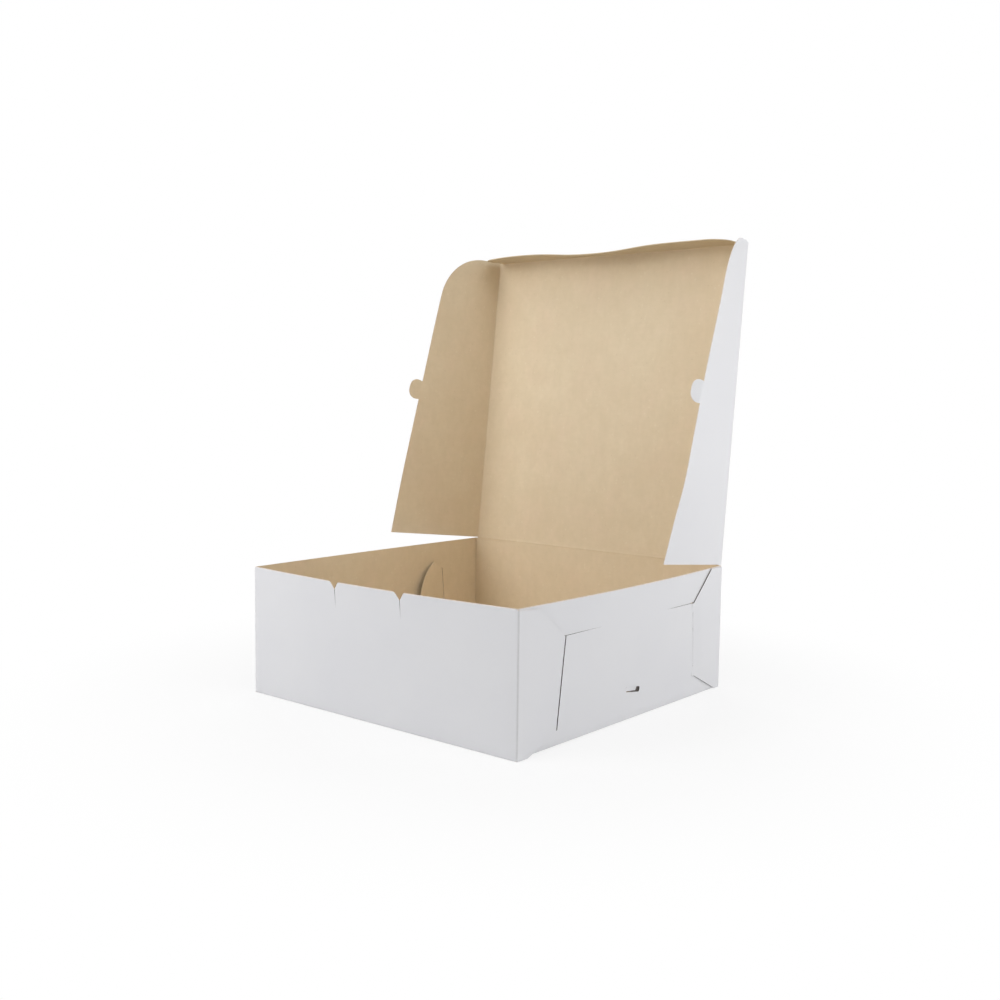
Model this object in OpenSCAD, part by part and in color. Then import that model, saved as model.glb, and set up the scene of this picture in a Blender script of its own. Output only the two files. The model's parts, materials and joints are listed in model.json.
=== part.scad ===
// Cake box folded from one die-cut sheet of board, with its lid open.
// Millimetres. X runs along the front wall, Y from front to back, Z up.
// The origin is the middle of the base's underside.

/* [Board] */
// Thickness of the board
board = 0.6; // [0.4:0.05:0.9]
// Inside radius of a fold
fold_r = 0.5; // [0.3:0.1:1.2]
// Gap between two layers of board that lie on each other
layer_gap = 0.2; // [0.1:0.05:0.4]
// Gap left open at the folds that move
crease_gap = 0.3; // [0.2:0.05:0.6]
// Width of a knife cut that stands a little open
cut_w = 0.8; // [0.4:0.1:1.2]

/* [Tray] */
// Outside width, along the front wall
tray_w = 254; // [220:1:360]
// Outside depth, from the front wall to the back wall
tray_d = 254; // [220:1:360]
// Height of the walls
tray_h = 96; // [80:1:130]

/* [Front wall notches] */
// Distance between the two notches
notch_pitch = 63; // [40:1:120]
// Width of a notch's V, before its shoulders are rounded
notch_w = 8; // [5:0.5:14]
// Depth of a notch's V
notch_depth = 5.5; // [4:0.5:10]
// Radius of a notch's shoulders
notch_r = 2; // [0.5:0.5:3]
// Length of the slit under a notch
notch_slit = 12; // [6:1:24]

/* [Corner wings] */
// Length of a wing's foot along the floor, from the corner
wing_foot = 12; // [6:1:20]
// Height of that foot over the floor
wing_foot_gap = 0.2; // [0.1:0.1:1]
// Length of a wing's top edge, from the corner
wing_top = 19; // [8:1:24]
// Distance of a wing's top edge below the walls' top
wing_drop = 1; // [0.5:0.5:3]
// Distance of the locking slit's upper end below the walls' top
slit_drop = 23.5; // [18:0.5:30]
// Height of the locking slit's lower end over the floor
slit_rise = 11.5; // [11:0.5:16]
// Distance of the slit's upper end from the corner
slit_top_at = 46; // [40:1:54]
// Distance of the slit's lower end from the corner
slit_foot_at = 40; // [34:1:46]
// Length of the level cut that runs on from the slit's upper end
slit_return = 41; // [20:1:50]

/* [Tongues] */
// Reach of a tongue past its slit, inside the side wall
tongue_reach = 34; // [24:1:40]
// Reach of the hooks at the ends of a tongue past its slit
hook_run = 10; // [7:1:14]
// Rise of each hook past the end of its slit
hook_rise = 8; // [4:0.5:8]
// Distance that a tongue's tip stands off the side wall
tongue_lift = 0.6; // [0:0.1:1.5]

/* [Lid] */
// Angle that the open lid leans back from upright
lid_lean = 6.4; // [0:0.1:30]
// Distance of the lid's front fold behind the front wall, when closed
lid_short = 2.1; // [1.2:0.1:6]

/* [Lid side flaps] */
// Angle from the lid to a folded side flap
flap_fold = 90.6; // [90:0.1:93]
// Room under a side flap's widest end, when closed
flap_clear = 1; // [1:0.5:8]
// Angle by which a side flap narrows towards the lid's front edge
flap_taper = 8.8; // [0:0.2:9]
// Radius of a side flap's round front corner
flap_round = 45; // [20:1:50]
// Gap between a side flap's ends and the ends of its fold
flap_end_gap = 0.9; // [0.6:0.1:3]

/* [Locking tabs] */
// Distance of the tabs and their slots behind the middle of the box, when closed
tab_shift = 2.5; // [0:0.5:6]
// Length of a tab along its flap's edge
tab_l = 17; // [12:0.5:20]
// Reach of a tab past its flap's edge
tab_reach = 11.5; // [8:0.5:14]
// Radius of a tab's outer corners
tab_r = 5.5; // [2:0.5:5.5]
// Depth of the undercut beside a tab's neck
tab_undercut = 0.5; // [0.5:0.5:3]
// Length of a tab's neck
tab_neck = 2.5; // [1:0.5:3]
// Height of the slot that a tab goes through, which runs along the closed flap's edge
slot_h = 4.5; // [3:0.5:6]
// Spare length of that slot
slot_spare = 0.5; // [0.5:0.5:3]
// Angle by which the slot's waste piece is pushed in
waste_tilt = 12; // [4:1:14]

/* [Lid front flap] */
// Depth of the front flap
tuck_depth = 32; // [20:1:60]
// Angle from the lid to the folded front flap
tuck_fold = 94; // [91:0.5:100]
// Distance of the front flap's ends from the side folds
tuck_inset = 2.5; // [2:0.5:12]
// Radius of the front flap's free corners
tuck_round = 16; // [4:1:18]

/* [Hidden] */
$fn = 48;
overcut = 1;
shoulder_steps = 4;
outside_white = [0.93, 0.93, 0.94];
inside_brown = [0.80, 0.71, 0.56];

// Folds
bend_r = fold_r + board;
layer = board + layer_gap;
side_w = tray_w - 2 * layer;
base_w = side_w - 2 * bend_r;

// Moving folds: each edge beside one stops short of the rounded fold line
fold_back = board / 2 + crease_gap;
hinge_y = tray_d / 2 - board / 2;
hinge_z = tray_h + fold_back;
wall_stack = 2 * layer + board + tongue_lift;
lid_half = tray_w / 2 - wall_stack - fold_back;
lid_len = hinge_y + tray_d / 2 - board - lid_short;

// Locking slit of a corner wing, measured from the corner
slit_top = tray_h - slit_drop;
slit_slant = atan2(slit_top_at - slit_foot_at, slit_top - slit_rise);
slit_len = norm([slit_top_at - slit_foot_at, slit_top - slit_rise]);
jog = 2 * layer;
jog_miter = board * tan(45 / 2);
slit_from = layer_gap - jog_miter - crease_gap;
slit_to = layer + board + crease_gap;

// Hooked head of a tongue, drawn from the slit's middle
hook_half = slit_len / 2 + hook_rise;
head_bulge = tongue_reach - hook_run;
head_r = (pow(hook_half, 2) + pow(head_bulge, 2)) / (2 * head_bulge);

// Side flap, drawn flat: x away from its fold, y from the hinge
flap_start = flap_end_gap;
flap_stop = lid_len - flap_end_gap;
flap_w = hinge_z - board - flap_clear;
tab_at = hinge_y - tab_shift;
tab_root = flap_w - (tab_at - flap_start) * tan(flap_taper);
slot_l = tab_l + slot_spare;
slot_z = hinge_z - tab_root;

// Shapes that more than one sub-part uses

// Rectangle on y = 0 with its two lower corners rounded
module trough_fill(span, rise, r) {
    translate([-span / 2, r]) square([span, rise - r]);
    translate([r - span / 2, 0]) square([span - 2 * r, rise]);
    for (side = [-1, 1])
        translate([side * (span / 2 - r), r]) circle(r);
}

// Section of a trough: three panels and the two folds between them
module trough(span, rise) {
    difference() {
        trough_fill(span, rise, bend_r);
        translate([0, board]) trough_fill(span - 2 * board, rise, fold_r);
    }
}

// Stands a drawing (y, z) up in the plane of a side wall, from x = from to x = to
module side_view(from, to) {
    translate([from, 0, 0])
        rotate([90, 0, 90])
            linear_extrude(to - from) children();
}

// Stands a drawing (x, z) up in the plane of the front wall, from y = from to y = to
module front_view(from, to) {
    translate([0, to, 0])
        rotate([90, 0, 0])
            linear_extrude(to - from) children();
}

module round_rect(w, h, r) {
    square([w - 2 * r, h], center = true);
    square([w, h - 2 * r], center = true);
    for (x = [-1, 1], y = [-1, 1])
        translate([x * (w / 2 - r), y * (h / 2 - r)]) circle(r);
}

// Repeats its children on the right and the left
module both_sides() {
    for (flip = [0, 1])
        mirror([flip, 0, 0]) children();
}

// Repeats its children at the front and the back
module both_ends() {
    for (flip = [0, 1])
        mirror([0, flip, 0]) children();
}

// Tray: base with front and back walls

module base_and_end_walls() {
    side_view(-base_w / 2, base_w / 2) trough(tray_d, tray_h);
    both_ends()
        front_view(-tray_d / 2, board - tray_d / 2)
            translate([bend_r - tray_w / 2, bend_r])
                square([tray_w - 2 * bend_r, tray_h - bend_r]);
}

// Points of a notch's right shoulder, an arc from the wall's top to the V's flank
function shoulder(alpha) =
    let (x = (notch_r + (notch_depth - notch_r) * cos(alpha)) / sin(alpha))
    [for (i = [0:shoulder_steps])
        let (turn = 90 + alpha * i / shoulder_steps)
        [x, tray_h - notch_r] + notch_r * [cos(turn), sin(turn)]];

// V with rounded shoulders and the slit under it
module notch() {
    right = shoulder(atan2(notch_depth, notch_w / 2));
    left = [for (i = [len(right) - 1:-1:0]) [-right[i].x, right[i].y]];
    over = tray_h + overcut;
    polygon(concat(
        [[right[0].x, over]], right,
        [[0, tray_h - notch_depth]],
        left, [[-right[0].x, over]]
    ));
    translate([-cut_w / 2, tray_h - notch_depth - notch_slit])
        square([cut_w, notch_slit + cut_w]);
}

module front_notches() {
    front_view(-tray_d / 2 - overcut, bend_r - tray_d / 2)
        for (side = [-1, 1])
            translate([side * notch_pitch / 2, 0]) notch();
}

// Tray: side walls, folded up from the base inside the corner wings

// Follows a locking slit: the plan drawing (y past the slit, x from the wall) is swept up along it
module along_slit(from, to) {
    translate([tray_w / 2, slit_foot_at - tray_d / 2, slit_rise])
        rotate([-slit_slant, 0, 0])
            translate([0, 0, from])
                linear_extrude(to - from) children();
}

module locking_slit() {
    along_slit(-crease_gap, slit_len + crease_gap)
        translate([-2 * layer, slit_from])
            square([layer + layer_gap, slit_to - slit_from]);
    side_view(tray_w / 2 - 2 * layer, tray_w / 2)
        translate([slit_top_at - tray_d / 2, slit_top])
            square([slit_return, cut_w]);
}

module tab_slot() {
    side_view(tray_w / 2 - 2 * layer, tray_w / 2)
        translate([tab_shift, slot_z])
            rotate(-flap_taper) round_rect(slot_l, slot_h, slot_h / 3);
}

// Waste piece of the slot, still held at its upper edge and pushed in
module slot_waste() {
    waste_h = slot_h - cut_w;
    translate([side_w / 2 - board, tab_shift, slot_z])
        rotate([-flap_taper, 0, 0])
            translate([0, 0, slot_h / 2])
                rotate([0, waste_tilt, 0])
                    side_view(0, board)
                        translate([0, -waste_h / 2])
                            round_rect(slot_l - 2 * cut_w, waste_h + 2 * cut_w, waste_h / 3);
}

module side_walls() {
    difference() {
        front_view(layer - tray_d / 2, tray_d / 2 - layer) trough(side_w, tray_h);
        both_sides() {
            both_ends() locking_slit();
            tab_slot();
        }
    }
    both_sides() slot_waste();
}

// Tray: corner wings, wrapped round the side walls, with tongues hooked through their slits

// Plan of a wing: outside the side wall, through the slit, then inside it
module wing_plan() {
    tip = tongue_reach + jog;
    polygon([
        [0, -slit_top_at], [0, 0], [-jog, jog], [-jog - tongue_lift, tip],
        [-jog - tongue_lift - board, tip], [-jog - board, jog - jog_miter],
        [-board, -jog_miter], [-board, -slit_top_at]
    ]);
}

// Outline of a wing in the plane of its wall, y from the corner; its neck starts just before the slit
module wing_outline() {
    top = tray_h - wing_drop;
    polygon([
        [bend_r, wing_foot_gap], [wing_foot, wing_foot_gap],
        [slit_foot_at - crease_gap, slit_rise], [slit_foot_at + jog, slit_rise],
        [slit_top_at + jog, slit_top], [slit_top_at - crease_gap, slit_top],
        [wing_top, top], [bend_r, top]
    ]);
    translate([(slit_foot_at + slit_top_at) / 2, (slit_rise + slit_top) / 2])
        rotate(-slit_slant) tongue_head();
}

// Round head with a hook at each end, taller than the slit
module tongue_head() {
    half = slit_len / 2;
    spread = hook_rise / (hook_run - jog);
    flare = half + spread * tongue_reach;
    intersection() {
        translate([tongue_reach - head_r, 0]) circle(head_r);
        polygon([
            [jog / 2, -half], [jog, -half], [jog + tongue_reach, -flare],
            [jog + tongue_reach, flare], [jog, half], [jog / 2, half]
        ]);
    }
}

module corner_wing() {
    wing_h = tray_h - wing_drop - wing_foot_gap;
    translate([tray_w / 2 - bend_r, bend_r - tray_d / 2, wing_foot_gap])
        linear_extrude(wing_h)
            intersection() {
                difference() {
                    circle(bend_r);
                    circle(fold_r);
                }
                translate([0, -bend_r]) square(bend_r);
            }
    intersection() {
        along_slit(-tray_h, 2 * tray_h) wing_plan();
        side_view(tray_w / 2 - tray_h, tray_w / 2 + overcut)
            translate([-tray_d / 2, 0]) wing_outline();
    }
}

module tray() {
    color(outside_white) {
        difference() {
            base_and_end_walls();
            front_notches();
        }
        side_walls();
        both_sides() both_ends() corner_wing();
    }
}

// Lid panel and its flaps, drawn in the lid's plane: x across, y from the hinge, z to its inside

module in_lid_plane() {
    translate([0, hinge_y, hinge_z])
        rotate([90 - lid_lean, 0, 0]) children();
}

// A panel's board, half of it on each side of its plane
module panel() {
    translate([0, 0, -board / 2])
        linear_extrude(board) children();
}

// Rounded edge on a moving fold, along x
module fold_edge(length) {
    rotate([0, 90, 0]) cylinder(d = board, h = length, center = true);
}

module lid() {
    width = 2 * (lid_half - fold_back);
    color(inside_brown) in_lid_plane() {
        fold_edge(width);
        panel()
            translate([-width / 2, 0])
                square([width, lid_len - fold_back]);
    }
}

// Outline of a side flap: its free edge tapers, and its front corner is a large arc
module flap_outline() {
    arc_y = flap_stop - flap_round;
    arc_x = flap_w - (arc_y - flap_start) * tan(flap_taper) - flap_round / cos(flap_taper);
    meet = [arc_x, arc_y] + flap_round * [cos(flap_taper), sin(flap_taper)];
    polygon([
        [0, flap_start], [flap_w, flap_start], meet,
        [arc_x, arc_y], [arc_x, flap_stop], [0, flap_stop]
    ]);
    intersection() {
        translate([arc_x, arc_y]) circle(flap_round);
        translate([arc_x, arc_y]) square(flap_round);
    }
    translate([tab_root, tab_at]) rotate(flap_taper) tab_outline();
}

// Tab with a neck under its round head
module tab_outline() {
    head = tab_reach - tab_neck;
    neck_l = tab_l - 2 * tab_undercut;
    translate([-tab_neck, -neck_l / 2]) square([tab_reach, neck_l]);
    intersection() {
        translate([tab_reach - head, 0]) round_rect(2 * head, tab_l, tab_r);
        translate([tab_neck, -tab_l / 2]) square([head, tab_l]);
    }
}

module side_flap() {
    length = flap_stop - flap_start;
    in_lid_plane()
        translate([lid_half, 0, 0])
            rotate([0, -flap_fold, 0]) {
                translate([0, (flap_start + flap_stop) / 2, 0])
                    rotate([0, 0, 90]) fold_edge(length);
                panel() flap_outline();
            }
}

module lid_right_flap() {
    color(outside_white) side_flap();
}

module lid_left_flap() {
    color(inside_brown) mirror([1, 0, 0]) side_flap();
}

module lid_front_flap() {
    width = 2 * (lid_half - tuck_inset);
    color(inside_brown) in_lid_plane()
        translate([0, lid_len, 0])
            rotate([tuck_fold, 0, 0]) {
                fold_edge(width);
                panel()
                    translate([0, tuck_depth])
                        mirror([0, 1]) trough_fill(width, tuck_depth, tuck_round);
            }
}

tray();
lid();
lid_left_flap();
lid_right_flap();
lid_front_flap();
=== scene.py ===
"""Cake box folded from one die-cut sheet of board, white outside and brown inside, with its lid open.

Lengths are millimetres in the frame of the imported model: X along the front wall, Y from front to
back, Z up. The meshes are scaled to metres when they are made.
"""

import json
import math

import bmesh
import bpy
import numpy as np
from mathutils import Matrix, Vector
from mathutils.geometry import delaunay_2d_cdt


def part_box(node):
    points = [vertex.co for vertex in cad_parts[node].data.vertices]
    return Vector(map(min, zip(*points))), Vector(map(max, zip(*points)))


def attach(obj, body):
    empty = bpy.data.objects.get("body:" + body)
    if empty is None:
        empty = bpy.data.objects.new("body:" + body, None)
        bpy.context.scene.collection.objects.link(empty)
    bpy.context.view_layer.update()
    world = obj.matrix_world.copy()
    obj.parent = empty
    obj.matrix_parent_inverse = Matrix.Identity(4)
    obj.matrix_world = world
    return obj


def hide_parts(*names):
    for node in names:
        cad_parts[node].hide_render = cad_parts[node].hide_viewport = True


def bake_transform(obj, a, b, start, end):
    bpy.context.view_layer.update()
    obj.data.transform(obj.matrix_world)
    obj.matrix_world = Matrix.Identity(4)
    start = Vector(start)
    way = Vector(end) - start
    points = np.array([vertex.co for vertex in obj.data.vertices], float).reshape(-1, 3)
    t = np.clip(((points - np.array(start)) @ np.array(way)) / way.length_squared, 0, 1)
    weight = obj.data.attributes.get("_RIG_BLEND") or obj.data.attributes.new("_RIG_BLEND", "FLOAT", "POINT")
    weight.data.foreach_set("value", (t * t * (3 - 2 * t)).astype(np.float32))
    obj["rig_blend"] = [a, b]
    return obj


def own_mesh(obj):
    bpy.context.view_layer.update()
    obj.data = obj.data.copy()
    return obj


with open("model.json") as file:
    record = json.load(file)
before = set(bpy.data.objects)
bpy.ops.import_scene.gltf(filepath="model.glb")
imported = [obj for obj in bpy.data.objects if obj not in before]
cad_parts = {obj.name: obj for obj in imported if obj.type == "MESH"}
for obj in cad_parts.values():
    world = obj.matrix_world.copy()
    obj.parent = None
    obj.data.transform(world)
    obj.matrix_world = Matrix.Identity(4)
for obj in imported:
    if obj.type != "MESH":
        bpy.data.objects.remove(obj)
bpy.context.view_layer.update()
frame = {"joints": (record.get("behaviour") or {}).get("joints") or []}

MM = 0.001
X = Vector((1, 0, 0))
Y = Vector((0, 1, 0))
Z = Vector((0, 0, 1))

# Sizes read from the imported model
JOINTS = {joint["name"]: joint for joint in frame["joints"]}
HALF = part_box("tray")[1].x / MM
WALL_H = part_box("tray")[1].z / MM
HINGE = Vector(JOINTS["lid_hinge"]["pos_m"]) / MM
TUCK_LINE = Vector(JOINTS["front_flap_fold"]["pos_m"]) / MM
LID_HALF = JOINTS["right_flap_fold"]["pos_m"][0] / MM
LID_LEN = (TUCK_LINE - HINGE).length
LID_UP = (TUCK_LINE - HINGE).normalized()
LID_IN = X.cross(LID_UP)

# Board and folds
BOARD = 0.6
FOLD_R = 0.8
FOLD_ARC = FOLD_R * math.pi / 2
FOLD_STEPS = 4
LAYER = 0.8
CREASE = 2.5
CREASE_ROUND = 0.9
CREASE_WEAR_W = 0.8

# Bead pressed up along the lid's hinge: height, half width, and share and pitch of its waves
BEAD = 0.25
BEAD_W = 0.55
BEAD_WAVE = 0.25
BEAD_PITCH = 9.0

# Pitches of the panels' grids, and how far the grids keep from the outlines
GRID = 6.0
CREASE_GRID = 0.35
HINGE_GRID = 0.25
MARGIN = 0.2
CREASE_MARGIN = 0.1

# Points nearer than these are the same: on a panel, in its triangles, and in metres in a mesh
NEAR = 1e-3
NEAR_FLAT = 1e-4
NEAR_MESH = 2e-6

# Where the panels lie on the flat sheet, for its grain: across it or along it
SHEET_SIDE = 400
SHEET_WING = 200
SHEET_WASTE = (200, 300)
SHEET_HINGE = 650
SHEET_LID = 700
SHEET_FLAP = 300
SHEET_FLAP_CREASE = 250
SHEET_TUCK_CREASE = 960
SHEET_TUCK = 1000

# Middle of the board where the base ends and the walls' folds start
BASE_D = HALF - BOARD / 2 - FOLD_R
BASE_W = BASE_D - LAYER
CORNER = HALF - BASE_D

# How far the side walls' ends run on past the base, and how far from a side wall's edge its cuts start
SIDE_OVER = 0.2
CUT_INSET = 1.0

# How far the tops of the walls stand out in the middle
BOW = {"front": 7.5, "back": 0.0, "left": 2.0, "right": 5.0}
BOW_POWER = 1.2

# How far the base's right edge stands off the floor behind the front wing's foot
BASE_LIFT = 1.2
BASE_LIFT_W = 40.0
BASE_LIFT_H = 10.0
BASE_WEAR = 0.3

# How far the die crushes the outside of the walls' top edges
CRUSH = 0.45

# Front wall notches, with the points of their shoulders: place past the notch's side, and depth
NOTCH_PITCH = 63.0
NOTCH_W = 8.0
NOTCH_DEPTH = 5.5
NOTCH_SLIT = 13.0
NOTCH_SLIT_W = 0.45
NOTCH_SOFT = [(-2.6, 0.0), (-1.1, 0.25), (0.2, 1.1)]
NOTCH_SHARP = [(-0.6, 0.5), (0.1, 0.0)]

# Corner wings and their locking slits, measured from the corner and the floor
WING_FOOT = {"front": 12.0, "back": 8.5}
WING_FOOT_GAP = 0.2
WING_FOOT_START = 0.5
WING_FOOT_ROUND = [(-1.2, 0.0), (0.6, 0.7)]
WING_TOP = 19.0
WING_DROP = 1.0
SLIT_FOOT = (40.0, 11.5)
SLIT_HEAD = (46.0, WALL_H - 23.5)
SLIT_FOOT_RISE = {"front": 0.0, "back": 4.5}
SLIT_RETURN = 41.0
SLIT_NEAR = 0.3
SLIT_FAR = {"front_left": 1.95, "front_right": 1.95, "back_left": 1.75, "back_right": 0.85}
SLIT_CUT_W = {"front_left": 0.1, "front_right": 0.4, "back_left": 0.1, "back_right": 0.6}
NECK_GAP = 0.3
JOG = 2 * LAYER
NECK = JOG + 0.8
JOG_ROUND = 0.4
WING_SLOPE = {"front": 1.2, "back": -0.6}
WING_SOFT = {"front": 0.8, "back": 0.3}
WING_LIFT = {"front": 0.3, "back": 0.25}
WING_LIFT_POWER = 1.5
WING_GRID = 1.0
CORNER_WEAR = 0.5
# Wing pressed into the wall before its slit, so that it lies flush with the wall past it
WING_SUNK = {"front_left": 0.0, "front_right": 0.0, "back_left": 0.0, "back_right": 0.785}
WING_DELAY = {"front_left": 0.0, "front_right": 0.0, "back_left": 0.0, "back_right": 1.7}
SUNK_RUN = 13.0
SUNK_END = 6.0

# Tongues inside the side walls
TONGUE_REACH = 38.5
HOOK_RUN = 11.5
HOOK_RISE = 8.0
TONGUE_LIFT = 6.6
TONGUE_LIFT_POWER = 1.3
TONGUE_SLACK = 0.2
TONGUE_GRID = 2.5

# Lid flaps, with the angles from the lid to them along their folds
FLAP_W = 95.0
FLAP_GAP = 0.9
FLAP_BACK_GAP = 0.0
FLAP_TAPER = math.radians(8.8)
FLAP_ROUND = 45.0
FLAP_ROUND_GRID = 2.5
FLAP_TURNS = {
    "left": [(0, 77.6), (50, 76.5), (124, 76.5), (200, 76.6), (251, 78.0)],
    "right": [(0, 86.8), (30, 84.9), (60, 82.5), (90, 81.4), (145, 79.3), (200, 75.8), (251, 73.0)],
}
# How far the right flap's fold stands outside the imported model's
FOLD_OUT = {"left": 0.0, "right": 2.5}
# How far the flaps' top edges rise at their folds, and the share of it left at a place beside them
TOP_RISE = {"left": 1.3, "right": 1.6}
TOP_EASE = (12, 0.8)
# Bulge in the left flap's top corner: height, place from the fold and from the top, half widths there,
# and how far from the fold the board is still held flat
HUMP = 1.2
HUMP_AT = (14.0, 5.0)
HUMP_W = (12.0, 7.0)
HUMP_HELD = 5.0

# Locking tabs on the flaps, and their slots in the side walls
TAB_SHIFT = 2.5
TAB_AT = HINGE.y - TAB_SHIFT
TAB_L = 17.0
TAB_REACH = 11.5
TAB_R = 7.0
TAB_RAISE = 1.4
TAB_UNDERCUT = 0.5
TAB_NECK = 2.5
TAB_EASE = 0.4
TAB_BEND = {"left": 0.0, "right": math.radians(26)}
SLOT_L = TAB_L + 0.5
SLOT_H = 3.9
SLOT_UP = 0.9

# Front flap
TUCK_DEPTH = 32.0
TUCK_FOLD = math.radians(94)
TUCK_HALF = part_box("lid_front_flap")[1].x / MM
TUCK_ROUND = 16.0
TUCK_GRID = 4.0
# How far the front flap's free edge sags, and its dips: place along it, half width and depth
TUCK_SAG = 0.3
TUCK_DIPS = [(-17.0, 30.0, 2.8), (20.0, 28.0, 2.5), (-122.0, 24.0, 1.8)]


# Outlines and triangles of a flat sheet

def steps(start, stop, pitch):
    """Evenly spaced values from start to stop, about a pitch apart."""
    count = max(1, round(abs(stop - start) / pitch))
    return [start + (stop - start) * i / count for i in range(count + 1)]


def arc(centre, radius, start, stop, pitch=1.2):
    """Points on an arc, with its angles in degrees."""
    turns = steps(math.radians(start), math.radians(stop), pitch / radius)
    return [(centre[0] + radius * math.cos(a), centre[1] + radius * math.sin(a)) for a in turns]


def cut_at(outline, columns, rows, least=0.05):
    """The outline with a point wherever it crosses a column or a row of the grid."""
    points = []
    for a, b in zip(outline, outline[1:] + outline[:1]):
        length = math.dist(a, b)
        shares = [0.0]
        for axis, lines in ((0, columns), (1, rows)):
            span = b[axis] - a[axis]
            if abs(span) > 1e-9:
                shares += [(line - a[axis]) / span for line in lines]
        last = -1.0
        for t in sorted(shares):
            if t >= 0 and (t - last) * length > least and ((1 - t) * length > least or t == 0):
                points.append((a[0] + (b[0] - a[0]) * t, a[1] + (b[1] - a[1]) * t))
                last = t
    return points


def inside(points, outline):
    """Which of the points lie inside a closed outline."""
    x, y = points.T
    found = np.zeros(len(points), bool)
    for (ax, ay), (bx, by) in zip(outline, np.roll(outline, -1, axis=0)):
        if ay != by:
            found ^= ((ay > y) != (by > y)) & (x < (bx - ax) * (y - ay) / (by - ay) + ax)
    return found


def edge_distance(points, outline):
    """Distance of each point from a closed outline."""
    best = np.full(len(points), np.inf)
    for a, b in zip(outline, np.roll(outline, -1, axis=0)):
        d = b - a
        t = np.clip(((points - a) @ d) / (d @ d), 0, 1)
        best = np.minimum(best, np.linalg.norm(points - a - t[:, None] * d, axis=1))
    return best


INSIDE_ONLY = 1


def triangulate(panel):
    """Points and triangles of a panel's outline, less its holes, on its grid of columns and rows."""
    columns, rows = panel["columns"], panel["rows"]
    loops = [np.array(cut_at(panel["outline"], columns, rows))]
    loops += [np.array(hole) for hole in panel.get("holes", [])]
    grid = np.array([(u, v) for u in columns for v in rows])
    keep = inside(grid, loops[0])
    for hole in loops[1:]:
        keep &= ~inside(grid, hole)
    for loop in loops:
        keep &= edge_distance(grid, loop) > panel.get("margin", MARGIN)
    edges = []
    start = 0
    for loop in loops:
        edges += [(start + i, start + (i + 1) % len(loop)) for i in range(len(loop))]
        start += len(loop)
    points = [Vector(p) for p in np.vstack([*loops, grid[keep]])]
    corners, _, faces, *_ = delaunay_2d_cdt(points, edges, [], INSIDE_ONLY, NEAR_FLAT)
    flat = np.array([tuple(c) for c in corners])
    middles = np.array([flat[face].mean(0) for face in faces])
    solid = np.ones(len(faces), bool)
    for hole in loops[1:]:
        solid &= ~inside(middles, hole)
    return flat, [face for face, kept in zip(faces, solid) if kept]


# Sheets of board made of panels

# Material slots: white coat, kraft, raw edge, and the dark raw edge that is painted shade
OUTSIDE, INSIDE, RIM, SHADED = range(4)


def nowhere(u, v):
    """A rule that holds at no place of a panel."""
    return False


def panel_corners(bm, panel, flat):
    """The outer and the inner vertex at each point of a panel, with its place and inward direction."""
    fold = bm.verts.layers.float["fold"]
    crushed = panel.get("crushed", nowhere)
    corners = []
    for u, v in flat:
        point, normal, wear = panel["place"](u, v)
        outer = point - normal * BOARD / 2 - Z * CRUSH * crushed(u, v)
        pair = [bm.verts.new(corner * MM) for corner in (outer, point + normal * BOARD / 2)]
        for vert in pair:
            vert[fold] = wear
        corners.append((pair, point, normal))
    return corners


def add_face(bm, panel, verts, coords, material):
    """Adds a smooth face with its place on the flat sheet."""
    sheet = bm.loops.layers.uv["sheet"]
    made = bm.faces.new(verts)
    made.material_index = material
    made.smooth = True
    for loop, (u, v) in zip(made.loops, coords):
        loop[sheet].uv = ((u + panel["origin"][0]) * MM, (v + panel["origin"][1]) * MM)


def add_rim(bm, panel, flat, corners, border):
    """Closes a panel between its two faces along its border, apart from its seams."""
    seam = panel.get("seam", nowhere)
    shaded = panel.get("shaded", nowhere)
    for i, j in border:
        if not (seam(*flat[i]) and seam(*flat[j])):
            ring = [corners[j][0][1], corners[i][0][1], corners[i][0][0], corners[j][0][0]]
            # Edges in a panel's shaded places get the dark raw edge, as painted shade
            material = SHADED if shaded(*flat[[i, j]].mean(0)) else RIM
            add_face(bm, panel, ring, flat[[j, i, i, j]], material)


def add_panel(bm, panel):
    """Adds a panel as a thin closed sheet: its white face, its brown face and its cut edges."""
    flat, triangles = triangulate(panel)
    corners = panel_corners(bm, panel, flat)
    painted_shade_face = panel.get("painted_shade_face", nowhere)
    uses = {}
    for a, b, c in triangles:
        across = (corners[b][1] - corners[a][1]).cross(corners[c][1] - corners[a][1])
        order = [a, b, c] if across.dot(corners[a][2]) > 0 else [a, c, b]
        back = order[::-1]
        # White faces in a panel's marked places are drawn in the dark raw edge's colour, as painted shade
        coat = SHADED if painted_shade_face(*flat[order].mean(0)) else OUTSIDE
        add_face(bm, panel, [corners[i][0][1] for i in order], flat[order], INSIDE)
        add_face(bm, panel, [corners[i][0][0] for i in back], flat[back], coat)
        for edge in zip(order, order[1:] + order[:1]):
            uses.setdefault(frozenset(edge), []).append(edge)
    border = [edges[0] for edges in uses.values() if len(edges) == 1]
    add_rim(bm, panel, flat, corners, border)


def sheet_piece(name, panels, kraft=None, rim=None):
    """A mesh object of one or more panels, joined where their seams meet."""
    bm = bmesh.new()
    bm.loops.layers.uv.new("sheet")
    bm.verts.layers.float.new("fold")
    for panel in panels:
        add_panel(bm, panel)
    bmesh.ops.remove_doubles(bm, verts=bm.verts, dist=NEAR_MESH)
    for edge in bm.edges:
        edge.smooth = len({face.material_index for face in edge.link_faces}) == 1
    mesh = bpy.data.meshes.new(name)
    bm.to_mesh(mesh)
    bm.free()
    for material in (WHITE, kraft or KRAFT, rim or EDGE, CUT):
        mesh.materials.append(material)
    piece = bpy.data.objects.new(name, mesh)
    bpy.context.scene.collection.objects.link(piece)
    return piece


# Materials

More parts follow.
